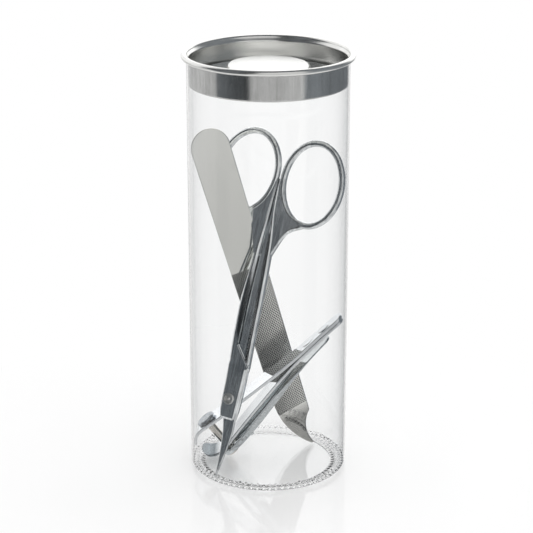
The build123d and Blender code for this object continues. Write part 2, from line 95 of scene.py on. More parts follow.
SCISSORS_FOOT = (-9.8, -7.9, BASE_TOP_Z + 19.9)
SCISSORS_HEAD = (3.8, 6.4, BASE_TOP_Z + 77.6)
SCISSORS_TURN = -23.5
LAP_GAP = 0.03
LAP_TOP = 0.8
LAP_BACK = LAP_GAP / 2         # back of the left half's plate
LAP_FOOT_V = -4.7              # below it that plate thins out towards its foot
LAP_FOOT_SINK = 0.65
LAP_BEVEL = (1.05, 0.5)        # width and drop of its bevel
STEP_HIGH, STEP_LOW = 13.9, 8.7
STEP_RIDGE_R = 0.42
STEP_RIDGE_Z = 0.62
BLADE_FRONT = 0.42
BLADE_BACK = -0.8
SHANK_HALF = 1.05
SHANK_FULL = 3.1               # width from which a shank's section has its full form
SHANK_HEIGHTS = (57.2, 50.0, 44.0, 38.5, 26.0, 16.5)
SHANK_SPLIT = (0.0, -0.2, -0.5, -0.7, -0.85, -0.85)
NECK_LOW, NECK_RUN, NECK_THINNING = 44, 13.2, 0.15  # the shanks thin between the rings
SPLIT_GAP = 0.05
RING_OUTER = (8.55, 11.3)
RING_WIRE = 1.75
RING_THICKNESS = 1.8
WEB_REACH = 0.5                # how far a web reaches past the middle of the ring's wire
RIGHT_RING, RIGHT_TILT = (8.7, 57.6), 1.0
LEFT_RING, LEFT_TILT = (-8.75, 57.35), -6.5
WEB_TOP = 0.8
SCREW_R = 1.0
SCREW_HEAD_R = 1.45
SCREW_HEAD_LOW, SCREW_HEAD_HIGH = LAP_TOP + 0.02, LAP_TOP + 0.5

FILE_FOOT = (11.9, 8.9, BASE_TOP_Z + 0.25)
FILE_HEAD = (-14.1, 1.3, BASE_TOP_Z + 88.4)
FILE_TURN = 11.2
FILE_HALF = 0.35
FILE_LEFT_U = -6.75
FILE_LOW, FILE_HIGH = (1.8, 9.6), (3.25, 87.3)      # ends of the straight right edge
TOOTH_U, TOOTH_V = 0.64, 0.92
TOOTH_MARGIN = 0.3
CUT_TOP, CUT_FOOT, CUT_LEAN = 53.3, 12.05, 0.17
GRIP_SIZE = (0.34, 0.75, 0.17)
GRIP_SINK = 0.02

CLIPPER_REAR = (18.75, 0.5, BASE_TOP_Z + 39.4)
CLIPPER_SLOPE = 43.6
LEAF_EDGE_R = 0.2
LEVER_EDGE_R = 0.18
JAW_PAINTED_REFLECTION = (47.8, 49.4)       # where the painted dark reflection on the lower jaw starts and is darkest
RIVET_FOOT, RIVET_TOP = -1.08, 0.55
POST_STATION = 45.5
POST_LEAN = 5.0
POST_R = 1.05
POST_FOOT_R = 1.8
POST_FOOT_T = -7.85            # upper side of the foot
POST_HEAD_T = 2.95             # underside of the head


# ================================================================ mesh helpers
def clamped(value):
    """The value, kept between 0 and 1."""
    return min(1, max(0, value))


def plane_matrix(origin, across, along, face):
    """Matrix of a plane from its origin and its three directions."""
    matrix = Matrix((across, along, face)).transposed().to_4x4()
    matrix.translation = origin
    return matrix


def tool_matrix(foot, head, turn):
    """Plane of a tool: its Y runs from foot to head and its Z to the front."""
    foot = Vector(foot)
    along = (Vector(head) - foot).normalized()
    forward = Vector((0, -1, 0))
    face = (forward - along * forward.dot(along)).normalized()
    face.rotate(Quaternion(along, radians(turn)))
    return plane_matrix(foot, along.cross(face), along, face)


def smooth_line(points, steps=6):
    """A smooth line through points, as 2-D pairs."""
    points = [Vector((*p, 0)) for p in points]
    ends = [points[0] * 2 - points[1]] + points + [points[-1] * 2 - points[-2]]
    line = [points[0]]
    for before, start, end, after in zip(ends, ends[1:], ends[2:], ends[3:]):
        handles = (start + (end - before) / 6, end - (after - start) / 6)
        line += interpolate_bezier(start, *handles, end, steps + 1)[1:]
    return [(p.x, p.y) for p in line]


def arc_line(start, through, end, steps=16):
    """Arc through three 2-D points."""
    (ax, ay), (bx, by), (cx, cy) = start, through, end
    d = 2 * (ax * (by - cy) + bx * (cy - ay) + cx * (ay - by))
    a2, b2, c2 = ax * ax + ay * ay, bx * bx + by * by, cx * cx + cy * cy
    ux = (a2 * (by - cy) + b2 * (cy - ay) + c2 * (ay - by)) / d
    uy = (a2 * (cx - bx) + b2 * (ax - cx) + c2 * (bx - ax)) / d
    first = atan2(ay - uy, ax - ux)
    middle = (atan2(by - uy, bx - ux) - first) % (2 * pi)
    last = (atan2(cy - uy, cx - ux) - first) % (2 * pi)
    sweep = last if middle < last else last - 2 * pi
    radius = hypot(ax - ux, ay - uy)
    angles = [first + sweep * i / steps for i in range(steps + 1)]
    return [(ux + radius * cos(a), uy + radius * sin(a)) for a in angles]


def quarter_turn(steps):
    """Angles from 0 to a quarter of a turn."""
    return [pi / 2 * i / steps for i in range(steps + 1)]


def plate(outline, low, high, rim, steps):
    """Flat solid between two heights with that outline; both rims are rounded by insets."""
    bm = bmesh.new()
    verts = [bm.verts.new((x, y, low + rim)) for x, y in outline]
    bmesh.ops.remove_doubles(bm, verts=verts, dist=NEAR)
    face = bm.faces.new(bm.verts[:])
    made = bmesh.ops.extrude_face_region(bm, geom=[face])["geom"]
    top = [v for v in made if isinstance(v, bmesh.types.BMVert)]
    bmesh.ops.translate(bm, vec=(0, 0, high - low - 2 * rim), verts=top)
    bmesh.ops.recalc_face_normals(bm, faces=bm.faces)
    flats = [f for f in bm.faces if abs(f.normal.z) > 0.9]
    turns = quarter_turn(steps)
    for before, after in zip(turns, turns[1:]):
        bmesh.ops.inset_region(
            bm,
            faces=flats,
            thickness=rim * (cos(before) - cos(after)),
            depth=rim * (sin(after) - sin(before)),
            use_even_offset=True,
            use_boundary=True,
        )
    return bm


def loft(sections):
    """Closed solid through sections of equal length, each a list of points."""
    bm = bmesh.new()
    loops = []
    for section in sections:
        verts = [bm.verts.new(point) for point in section]
        loops.append([bm.edges.new((a, b)) for a, b in zip(verts, verts[1:] + verts[:1])])
    for start, end in zip(loops, loops[1:]):
        bmesh.ops.bridge_loops(bm, edges=start + end)
    for end in (loops[0], loops[-1]):
        bmesh.ops.contextual_create(bm, geom=end)
    bmesh.ops.remove_doubles(bm, verts=bm.verts, dist=MERGE)
    bmesh.ops.recalc_face_normals(bm, faces=bm.faces)
    return bm


def spun(bm, steps, merge=1e-4):
    """The same bmesh, its lines turned once round Z into a surface."""
    bmesh.ops.spin(
        bm,
        geom=bm.verts[:] + bm.edges[:],
        cent=(0, 0, 0),
        axis=(0, 0, 1),
        dvec=(0, 0, 0),
        angle=2 * pi,
        steps=steps,
        use_merge=True,
        use_duplicate=False,
    )
    bmesh.ops.remove_doubles(bm, verts=bm.verts, dist=merge)
    bmesh.ops.recalc_face_normals(bm, faces=bm.faces)
    return bm


def lathe(profile, steps, closed=False):
    """Solid of revolution about Z from (r, z) points; closed joins the last point to the first."""
    bm = bmesh.new()
    verts = [bm.verts.new((r, 0, z)) for r, z in profile]
    for pair in zip(verts, verts[1:]):
        bm.edges.new(pair)
    if closed:
        bm.edges.new((verts[-1], verts[0]))
    return spun(bm, steps)


def join(*parts):
    """One bmesh from several."""
    whole = parts[0]
    for part in parts[1:]:
        mesh = bpy.data.meshes.new("joined")
        part.to_mesh(mesh)
        part.free()
        whole.from_mesh(mesh)
        bpy.data.meshes.remove(mesh)
    return whole


def placed(bm, matrix):
    """The same bmesh, moved by a matrix."""
    bmesh.ops.transform(bm, matrix=matrix, verts=bm.verts)
    return bm


def softened(node_name, offset):
    """Copy of a CAD solid in millimetres, with its sharp edges rounded."""
    bm = bmesh.new()
    bm.from_mesh(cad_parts[node_name].data)
    bmesh.ops.scale(bm, vec=(1 / MM,) * 3, verts=bm.verts)
    bmesh.ops.remove_doubles(bm, verts=bm.verts, dist=MERGE)
    bmesh.ops.dissolve_limit(bm, angle_limit=radians(0.6), verts=bm.verts, edges=bm.edges)
    sharp = [e for e in bm.edges if e.is_manifold and e.calc_face_angle(0) > radians(35)]
    bmesh.ops.bevel(
        bm,
        geom=sharp,
        offset=offset,
        segments=3,
        profile=0.5,
        affect="EDGES",
        material=-1,
        clamp_overlap=False,
    )
    return bm


def piece(name, bm, body, cad_node, material, sharp=32):
    """Makes the finished piece of a bmesh in millimetres, in place of the CAD node."""
    bmesh.ops.scale(bm, vec=(MM,) * 3, verts=bm.verts)
    for face in bm.faces:
        face.smooth = True
    for edge in bm.edges:
        edge.smooth = edge.is_manifold and edge.calc_face_angle(0) < radians(sharp)
    mesh = bpy.data.meshes.new(name)
    bm.to_mesh(mesh)
    bm.free()
    mesh.materials.append(material)
    obj = bpy.data.objects.new(name, mesh)
    scene.collection.objects.link(obj)
    even = obj.modifiers.new("flat_faces_stay_flat", "WEIGHTED_NORMAL")
    even.keep_sharp = True
    even.weight = 80
    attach(obj, body)
    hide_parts(cad_node)


# ================================================================ material helpers
def put(socket, value):
    """Links an output to the socket, or gives the socket a plain value."""
    if isinstance(value, bpy.types.NodeSocket):
        socket.id_data.links.new(value, socket)
    else:
        socket.default_value = value


def feed(made, **values):
    """Gives a node's sockets what they need, by their names with _ for spaces."""
    for key, value in values.items():
        put(made.inputs[key.replace("_", " ")], value)


def node(tree, kind, *values, **named):
    """A node: values go to its first sockets in order, and names are settings or sockets."""
    made = tree.nodes.new(kind)
    for key, value in named.items():
        if hasattr(made, key):
            setattr(made, key, value)
        else:
            feed(made, **{key: value})
    for socket, value in zip(made.inputs, values):
        put(socket, value)
    return made


def math(tree, operation, *values):
    """Result of a math node."""
    return node(tree, "ShaderNodeMath", *values, operation=operation).outputs[0]


def span(tree, value, start, end, low=0.0, high=1.0):
    """Low to high as the value goes from start to end."""
    return node(tree, "ShaderNodeMapRange", value, start, end, low, high).outputs[0]


def length(tree, vector):
    """Length of a vector."""
    return node(tree, "ShaderNodeVectorMath", vector, operation="LENGTH").outputs["Value"]


def blend(tree, share, first, second, kind="MIX"):
    """Colour mixed from two."""
    mix = node(tree, "ShaderNodeMix", data_type="RGBA", blend_type=kind)
    feed(mix, Factor=share, A=first, B=second)
    return mix.outputs["Result"]


def shader_mix(tree, share, first, second):
    """Shader mixed from two."""
    return node(tree, "ShaderNodeMixShader", share, first, second).outputs[0]


def split(tree, vector):
    """Outputs X, Y and Z of a vector."""
    return node(tree, "ShaderNodeSeparateXYZ", vector).outputs


def mirrored_rays(tree):
    """1 for what is seen by reflection, 0 for what is seen straight or through the plastic."""
    paths = tree.nodes.new("ShaderNodeLightPath")
    return math(tree, "GREATER_THAN", paths.outputs["Glossy Depth"], 0.5)


def new_material(name):
    """A material with its node tree and its Principled shader."""
    material = bpy.data.materials.new(name)
    material.use_nodes = True
    return material, material.node_tree, material.node_tree.nodes["Principled BSDF"]


def object_place(tree):
    """Coordinates of the object, in metres."""
    return tree.nodes.new("ShaderNodeTexCoord").outputs["Object"]


def plane_place(tree, plane, unit=1.0):
    """Coordinates in a tool's own plane, in units of that many metres."""
    flat = node(tree, "ShaderNodeMapping", vector_type="TEXTURE")
    location = plane.translation * MM
    feed(flat, Vector=object_place(tree), Location=location, Rotation=plane.to_euler())
    feed(flat, Scale=(unit, unit, unit))
    return flat.outputs[0]


# ================================================================ materials
def polish_marks():
    """Node group: fine rubbing marks and smudges, for roughness, bump and tone."""
    group = bpy.data.node_groups.new("polish_marks", "ShaderNodeTree")
    for label, kind, default in (
        ("Vector", "NodeSocketVector", (0.0, 0.0, 0.0)),
        ("Roughness", "NodeSocketFloat", 0.1),
        ("Smudge", "NodeSocketFloat", 0.06),
        ("Grain Stretch", "NodeSocketVector", (1.0, 1.0, 1.0)),
        ("Grain Scale", "NodeSocketFloat", 3000.0),
    ):
        socket = group.interface.new_socket(label, in_out="INPUT", socket_type=kind)
        socket.default_value = default
    for label in ("Roughness", "Height", "Tone"):
        group.interface.new_socket(label, in_out="OUTPUT", socket_type="NodeSocketFloat")
    given = group.nodes.new("NodeGroupInput").outputs
    smudges = node(group, "ShaderNodeTexNoise", Scale=260.0, Detail=3.0, Roughness=0.6)
    feed(smudges, Vector=given["Vector"])
    smudge = math(group, "SUBTRACT", smudges.outputs["Fac"], 0.5)
    stretched = node(
        group, "ShaderNodeVectorMath", given["Vector"], given["Grain Stretch"], operation="MULTIPLY"
    )
    grains = node(group, "ShaderNodeTexNoise", Detail=2.0, Roughness=0.5)
    feed(grains, Vector=stretched.outputs[0], Scale=given["Grain Scale"])
    grain = grains.outputs["Fac"]
    cloudy = math(group, "MULTIPLY_ADD", grain, 2.0, smudge)
    feed(
        group.nodes.new("NodeGroupOutput"),
        Roughness=math(group, "MULTIPLY_ADD", smudge, given["Smudge"], given["Roughness"]),
        Height=grain,
        Tone=span(group, cloudy, 0.6, 1.4),
    )
    return group


MARKS = polish_marks()


def metal(name, color, roughness, smudge, bump, stretch=(1, 1, 1), grain=3000.0, tone=0.08, plane=None):
    """Metal with its own grain: color is its plain reflectance."""
    material, tree, shader = new_material(name)
    marks = node(tree, "ShaderNodeGroup", node_tree=MARKS)
    feed(marks, Roughness=roughness, Smudge=smudge, Grain_Stretch=stretch, Grain_Scale=grain)
    feed(marks, Vector=object_place(tree) if plane is None else plane_place(tree, plane))
    darker = (*(c * (1 - tone) for c in color), 1)
    lighter = (*(min(1, c * (1 + tone)) for c in color), 1)
    ridges = node(tree, "ShaderNodeBump", Strength=bump, Distance=0.00002)
    feed(ridges, Height=marks.outputs["Height"])
    feed(
        shader,
        Metallic=1.0,
        Roughness=marks.outputs["Roughness"],
        Base_Color=blend(tree, marks.outputs["Tone"], darker, lighter),
        Normal=ridges.outputs["Normal"],
    )
    return material


def lid_metal(material):
    """Painted light: gives the lid's rim and inside a paler colour than its skirt, and makes them a
    little rougher.
    """
    tree = material.node_tree
    shader = tree.nodes["Principled BSDF"]
    parts = split(tree, object_place(tree))
    flat = node(tree, "ShaderNodeCombineXYZ", parts["X"], parts["Y"])
    wall = LID_WALL_R * MM
    shoulder = LID_SHOULDER_Z * MM
    inside = span(tree, length(tree, flat.outputs[0]), wall + 0.00005, wall - 0.00005)
    rim = span(tree, parts["Z"], shoulder - 0.0001, shoulder + 0.0001)
    satin_and_painted_light = math(tree, "MAXIMUM", inside, rim)
    plain_color, plain_roughness = (
        shader.inputs[key].links[0].from_socket for key in ("Base Color", "Roughness")
    )
    # painted light: the rim and inside get a paler base colour than the skirt
    pale = blend(tree, satin_and_painted_light, plain_color, (0.89, 0.89, 0.87, 1))
    feed(shader, Base_Color=pale, Roughness=math(tree, "MULTIPLY_ADD", satin_and_painted_light, 0.08, plain_roughness))
    return material


def clear_plastic(name, ior):
    """Clear sheet; its shadows stay light."""
    material, tree, shader = new_material(name)
    feed(shader, Base_Color=(0.995, 0.997, 0.997, 1), Roughness=0.0, IOR=ior, Transmission_Weight=1.0)
    clear = node(tree, "ShaderNodeBsdfTransparent", (0.985, 0.985, 0.985, 1))
    paths = tree.nodes.new("ShaderNodeLightPath").outputs
    light_rays = math(tree, "MAXIMUM", paths["Is Shadow Ray"], paths["Is Diffuse Ray"])
    whole = shader_mix(tree, light_rays, shader.outputs[0], clear.outputs[0])
    feed(tree.nodes["Material Output"], Surface=whole)
    return material


scissors_place = tool_matrix(SCISSORS_FOOT, SCISSORS_HEAD, SCISSORS_TURN)
file_place = tool_matrix(FILE_FOOT, FILE_HEAD, FILE_TURN)
TUBE_CLEAR = clear_plastic("tube_clear", 1.36)
DISC_CLEAR = clear_plastic("disc_clear", 1.24)
TINPLATE = lid_metal(metal("lid_tinplate", (0.66, 0.66, 0.65), 0.15, 0.10, 0.06, (1, 1, 0.08), 1400.0))
POLISHED = metal(
    "scissors_polish", (0.80, 0.82, 0.84), 0.03, 0.05, 0.10, (1, 0.05, 1), 2600.0, 0.22, scissors_place
)
CHROME = metal("clipper_chrome", (0.84, 0.86, 0.88), 0.03, 0.03, 0.015)
LEVER_STEEL = metal("lever_plated", (0.64, 0.67, 0.68), 0.08, 0.06, 0.05, grain=2400.0, tone=0.15)
HEAD_STEEL = metal("post_head_dulled", (0.44, 0.47, 0.50), 0.16, 0.10, 0.10, grain=2200.0, tone=0.3)
SCREW_STEEL = metal("screw_turned", (0.80, 0.80, 0.78), 0.3, 0.1, 0.05, plane=scissors_place)
POST_STEEL = metal("post_turned", (0.68, 0.65, 0.60), 0.25, 0.08, 0.04)


# ================================================================ case
def tube_shell():
    """Thin wall with its lower edge turned in and crimped in pleats under the disc."""
    centre = (TUBE_OUTER_R - TUBE_CORNER_R, TUBE_CORNER_R)
    inner_r = TUBE_CORNER_R - TUBE_WALL
    turns = quarter_turn(CORNER_STEPS)
    flange = [FLANGE_R + (centre[0] - FLANGE_R) * i / FLANGE_STEPS for i in range(FLANGE_STEPS)]
    profile = [(r, 0) for r in flange]
    profile += [(centre[0] + TUBE_CORNER_R * sin(a), centre[1] - TUBE_CORNER_R * cos(a)) for a in turns]
    profile += [(TUBE_OUTER_R, z) for z in TUBE_ROWS]
    profile += [(TUBE_INNER_R, z) for z in reversed(TUBE_ROWS)]
    profile += [(centre[0] + inner_r * sin(a), centre[1] - inner_r * cos(a)) for a in reversed(turns)]
    profile += [(r, TUBE_WALL) for r in reversed(flange)]
    bm = lathe(profile, PLEATS * PLEAT_FACES, closed=True)
    for vert in bm.verts:
        if vert.co.z > TUBE_CORNER_R + NEAR:
            continue
        radius = hypot(vert.co.x, vert.co.y)
        angle = atan2(vert.co.y, vert.co.x)
        from_corner = hypot(radius - centre[0], vert.co.z - centre[1])
        outside = vert.co.z < TUBE_WALL / 2 or from_corner > CORNER_SPLIT_R
        ramp = clamped((radius - FLANGE_R - PLEAT_INNER[0]) / PLEAT_INNER[1])
        fade = clamped((TUBE_OUTER_R - PLEAT_OUTER[0] - radius) / PLEAT_OUTER[1])
        uneven = 1 + PLEAT_UNEVEN * noise(Vector((cos(angle), sin(angle), 0)) * 9)
        wave = (0.5 + 0.5 * sin(PLEATS * angle)) ** 0.5
        crest = PLEAT_HEIGHT * wave * uneven * (PLEAT_OUTSIDE if outside else 1.0)
        vert.co.z += ramp * fade * (PLEAT_RISE + crest)
    return bm


def disc():
    """Flat clear disc on the turned-in edge."""
    low, high = TUBE_WALL, BASE_TOP_Z
    profile = [(0, low), (DISC_R - 0.1, low), (DISC_R, low + 0.06)]
    profile += [(DISC_R - 0.5, high - 0.15), (DISC_R - 1.1, high), (0, high)]
    return lathe(profile, 144)


def lid_shell():
    """Pressed sheet: platform, panel, groove, plug wall, shoulder and curled rim."""
    bm = bmesh.new()
    groove_r = LID_WALL_R - LID_GROOVE
    line = [
        (0, LID_PLATFORM_Z),
        (LID_PLATFORM_R - LID_PLATFORM_SLANT, LID_PLATFORM_Z),
        (LID_PLATFORM_R, LID_PANEL_Z),
        (groove_r, LID_PANEL_Z),
        (groove_r, LID_FOOT_Z),
        (LID_WALL_R, LID_FOOT_Z),
        (LID_WALL_R, LID_SHOULDER_Z - LID_FLARE_DROP),
        (LID_RIM_R - 2 * LID_ROLL_R, LID_ROLL_Z),
    ]
    verts = [bm.verts.new((r, 0, z)) for r, z in line]
    for pair in zip(verts, verts[1:]):
        bm.edges.new(pair)
    bmesh.ops.spin(
        bm,
        geom=[verts[-1]],
        cent=(LID_RIM_R - LID_ROLL_R, 0, LID_ROLL_Z),
        axis=(0, 1, 0),
        dvec=(0, 0, 0),
        angle=radians(LID_ROLL_TURN),
        steps=24,
        use_duplicate=False,
    )
    for corner, width in zip(verts[1:], LID_BENDS):
        bmesh.ops.bevel(
            bm, geom=[corner], offset=width, segments=6, profile=0.5, affect="VERTICES", material=-1
        )
    return spun(bm, 160, 1e-3)


def thicken(bm, sheet):
    """Gives an open sheet its thickness, half on each side."""
    bm.normal_update()
    moved = [(vert, vert.co + vert.normal * sheet / 2) for vert in bm.verts]
    for vert, co in moved:
        vert.co = co
    bmesh.ops.solidify(bm, geom=bm.faces[:], thickness=sheet)
    return bm


piece("tube_shell", tube_shell(), "case", "tube_wall", TUBE_CLEAR, 60)
piece("base_plate", disc(), "case", "base_disc", DISC_CLEAR)
piece("lid_cap", thicken(lid_shell(), LID_SHEET), "lid_body", "lid", TINPLATE, 60)


# ================================================================ scissors
def bar_section(side, inner, outer, depth, fall):
    """Section of a shank: worked face in front, rounded outer side, plain back."""
    fit = min(1, (outer - inner) / SHANK_FULL)
    bow_width = min(0.95, 0.6 * (outer - inner))
    if side > 0:
        front = [
            (inner, depth - 0.6),
            (inner + 0.55 * fit, depth - 0.14),
            (outer - 1.8 * fit, depth - 0.14),
            (outer - 1.52 * fit, depth),
        ]
        crown = depth - 0.06
    else:
        front = [
            (inner, depth - 0.2 - fall),
            (inner + 0.06, depth - 0.03 - fall),
            (inner + 0.12, depth - 0.02 - fall),
        ]
        crown = depth - 0.02
    turns = quarter_turn(10)
    turns += [pi - turn for turn in reversed(turns[:-1])]
    bow = [(outer - bow_width + bow_width * sin(turn), crown * cos(turn)) for turn in turns]
    return front + bow + [(inner + 0.25 * fit, -crown), (inner, 0.25 - crown)]


def shank_bar(side, widths, ends):
    """Polished bar of one half, from between the rings down to its end at the lap.

    Each row of ends has an outer edge, a height and a taper; without a height it is on the step.
    """
    across = smooth_line(list(zip(widths, SHANK_HEIGHTS)), 4)
    middles = smooth_line(list(zip(SHANK_SPLIT, SHANK_HEIGHTS)), 4)
    rows = [(outer, side * middle, v, 0) for (outer, v), (middle, _) in zip(across, middles)]
    rows += [(outer, side * middles[-1][0], v, taper) for outer, v, taper in ends]
    sections = []
    for outer, middle, v, taper in rows:
        inner = middle + SPLIT_GAP
        depth, fall = SHANK_HALF, 0
        if v is not None:
            depth -= NECK_THINNING * max(0, (v - NECK_LOW) / NECK_RUN)
            fall = 0.2 * clamped((v - 15) / 8)
        if side < 0:
            depth -= (SHANK_HALF - LAP_TOP - LAP_GAP) * clamped((17 - v) / 5)
        section = []
        for u, z in bar_section(side, inner, outer, depth, fall):
            lean = (u - inner) / (outer - inner)
            level = STEP_HIGH - lean * (STEP_HIGH - STEP_LOW) - taper if v is None else v
            section.append((side * u, level, z * (1 - taper)))
        sections.append(section)
    return loft(sections)


def finger_ring(centre, tilt):
    """Oval ring of rounded wire."""
    bm = bmesh.new()
    mean = (RING_OUTER[0] - RING_WIRE / 2, RING_OUTER[1] - RING_WIRE / 2)
    section = bmesh.ops.create_circle(bm, segments=20, radius=0.5)["verts"]
    bmesh.ops.scale(bm, vec=(RING_WIRE, RING_THICKNESS, 1), verts=section)
    bmesh.ops.rotate(bm, cent=(0, 0, 0), matrix=Matrix.Rotation(pi / 2, 3, "X"), verts=section)
    bmesh.ops.translate(bm, vec=(mean[0], 0, 0), verts=section)
    spun(bm, 96)
    for vert in bm.verts:
        angle = atan2(vert.co.y, vert.co.x)
        out = hypot(vert.co.x, vert.co.y) - mean[0]
        normal = Vector((mean[1] * cos(angle), mean[0] * sin(angle))).normalized()
        vert.co.x = mean[0] * cos(angle) + normal.x * out
        vert.co.y = mean[1] * sin(angle) + normal.y * out
    turn = Matrix.Rotation(radians(tilt), 4, "Z")
    return placed(bm, Matrix.Translation((*centre, 0)) @ turn)


def ring_point(centre, tilt, angle):
    """Point inside a ring's wire, near the finger hole."""
    a, b = (radius - RING_WIRE / 2 - WEB_REACH for radius in RING_OUTER)
    p = Matrix.Rotation(radians(tilt), 2) @ Vector((a * cos(angle), b * sin(angle)))
    return (centre[0] + p.x, centre[1] + p.y)


def web(side, ring, tilt, edge, low):
    """Thin web that fills the corner between the shank and the ring; edge is its free side."""
    free = [Vector(point) for point in smooth_line(edge, 8)]
    foot, top = (-pi / 2, -pi) if side > 0 else (radians(-72), 0)
    last = len(free) - 1
    wire = [Vector(ring_point(ring, tilt, foot + (top - foot) * i / last)) for i in range(last + 1)]
    free.append(Vector((side * 0.4, edge[-1][1])))
    wire.append(Vector((side * 0.2, ring[1] - 1.0)))
    sections = []
    for near, far in zip(free, wire):
        reach = (far - near).normalized() * min(1.0, 0.7 * (far - near).length)
        section = [(*near, low), (*near, WEB_TOP - 0.6)]
        for share, drop in ((0.05, 0.45), (0.2, 0.28), (0.45, 0.13), (0.7, 0.05), (1.0, 0.0)):
            section.append((*(near + reach * share), WEB_TOP - drop))
        section += [(*far, WEB_TOP), (*far, low)]
        sections.append(section)
    return loft(sections)


def blade(inset, low, high):
    """Tapering blade with its point down."""
    half_root, half_middle = 1.7 - inset, 1.15 - inset
    tip = (1.05, inset - 20.7)
    left = smooth_line([(1.2 - half_root, -4.6), (1.65 - half_middle, -10.4), tip])
    right = smooth_line([tip, (1.65 + half_middle, -10.4), (1.2 + half_root, -4.6)])
    return plate(left + right[1:], low, high, 0.22, 1)


def rear_lap():
    """Flat plate of the right half round the screw, behind the other half."""
    near = smooth_line([(3.3, STEP_LOW + 1.5), (3.3, 4.0), (3.25, 0), (3.1, -2.9), (2.75, -4.8)])
    foot = [(2.4, -5.2), (0.0, -5.2)]
    across = smooth_line([(-0.35, -4.8), (-1.6, 0), (-2.3, STEP_LOW - 0.12)])
    top = [(-0.85, STEP_HIGH - 0.15), (2.9, STEP_HIGH)]
    return plate(near + foot + across + top, -SHANK_HALF, -LAP_BACK, 0.25, 3)


def front_lap():
    """Plate of the left half round the screw: flat, with a broad polished bevel on its right side."""
    rows = (  # height, left edge, right edge, share of the full bevel
        (-5.7, 0.3, 2.1, 1.0),
        (-5.5, -0.4, 2.7, 1.0),
        (-5.15, -0.95, 3.0, 1.0),
        (LAP_FOOT_V, -1.3, 3.15, 1.0),
        (-2.9, -1.7, 3.2, 1.0),
        (0, -1.85, 3.25, 1.0),
        (4.0, -1.95, 3.3, 1.0),
        (STEP_LOW - 0.7, -2.15, 3.35, 1.0),
        (STEP_LOW - 0.1, -2.2, 3.4, 0.2),
        (STEP_LOW + 2.6, -2.0, 1.25, 0.05),
        (STEP_HIGH - 0.1, -1.8, -0.8, 0.05),
    )
    sections = []
    for v, far, near, share in rows:
        sink = LAP_FOOT_SINK * clamped(LAP_FOOT_V - v)
        top = LAP_TOP - sink
        bevel, drop = LAP_BEVEL[0] * share, LAP_BEVEL[1] * share * (1 - sink / 0.7)
        profile = [
            (far, LAP_BACK),
            (far, LAP_BACK + 0.55 * (top - LAP_BACK)),
            (far + 0.27, top - 0.05 * (top - LAP_BACK)),
            (far + 0.36, top),
            (near - bevel, top),
            (near - bevel + 0.1 * share, top - 0.03 * share),
            (near - 0.1 * share, top - drop),
            (near, top - drop - 0.1 * share),
            (near, LAP_BACK),
        ]
        sections.append([(u, v, z) for u, z in profile])
    return loft(sections)


def step_ridge():
    """Half-round ridge along the slanted step of the right half."""
    start = Vector((-0.7, STEP_HIGH + 0.1, STEP_RIDGE_Z))
    end = Vector((3.3, STEP_LOW + 0.2, STEP_RIDGE_Z))
    turn = Vector((0, 0, 1)).rotation_difference(end - start).to_matrix().to_4x4()
    bm = bmesh.new()
    bmesh.ops.create_cone(
        bm,
        cap_ends=True,
        segments=28,
        radius1=STEP_RIDGE_R,
        radius2=STEP_RIDGE_R,
        depth=(end - start).length,
        matrix=Matrix.Translation((start + end) / 2) @ turn,
    )
    return bm


right_half = join(
    shank_bar(1, (0.75, 1.15, 1.9, 2.45, 3.0, 3.3), ((3.6, None, 0), (3.6, None, 0.35))),
    web(1, RIGHT_RING, RIGHT_TILT, [(9.4, 46.55), (5.1, 43.9), (2.6, 38.5), (2.0, 36.0)], -0.8),
    finger_ring(RIGHT_RING, RIGHT_TILT),
    step_ridge(),
    rear_lap(),
    blade(0.15, BLADE_BACK, -LAP_BACK),
)
left_half = join(
    shank_bar(-1, (0.75, 1.15, 1.7, 2.2, 3.0, 2.8), ((2.65, 14.0, 0), (2.5, 12.0, 0), (2.35, 10.0, 0))),
    web(-1, LEFT_RING, LEFT_TILT, [(-7.2, 46.5), (-4.9, 44.4), (-3.6, 41.0), (-2.3, 37.0)], -0.3),
    finger_ring(LEFT_RING, LEFT_TILT),
    front_lap(),
    blade(0, LAP_BACK, BLADE_FRONT),
)
screw = lathe(
    [
        (0, -SHANK_HALF),
        (SCREW_R - 0.1, -SHANK_HALF),
        (SCREW_R, 0.1 - SHANK_HALF),
        (SCREW_R, SCREW_HEAD_LOW),
        (SCREW_HEAD_R, SCREW_HEAD_LOW),
        (SCREW_HEAD_R, SCREW_HEAD_LOW + 0.2),
        (1.38, SCREW_HEAD_HIGH - 0.08),
        (1.2, SCREW_HEAD_HIGH),
        (0.98, SCREW_HEAD_HIGH - 0.02),
        (0.82, SCREW_HEAD_HIGH - 0.32),
        (0.55, SCREW_HEAD_HIGH - 0.38),
        (0.34, SCREW_HEAD_HIGH - 0.2),
        (0, SCREW_HEAD_HIGH - 0.12),
    ],
    40,
)
for bm in (right_half, left_half, screw):
    placed(bm, scissors_place)
piece("scissors_right", right_half, "scissors_right", "scissors_right_half", POLISHED)
piece("scissors_left", left_half, "scissors_left", "scissors_left_half", POLISHED)
piece("scissors_pin", screw, "scissors_right", "scissors_screw", SCREW_STEEL)


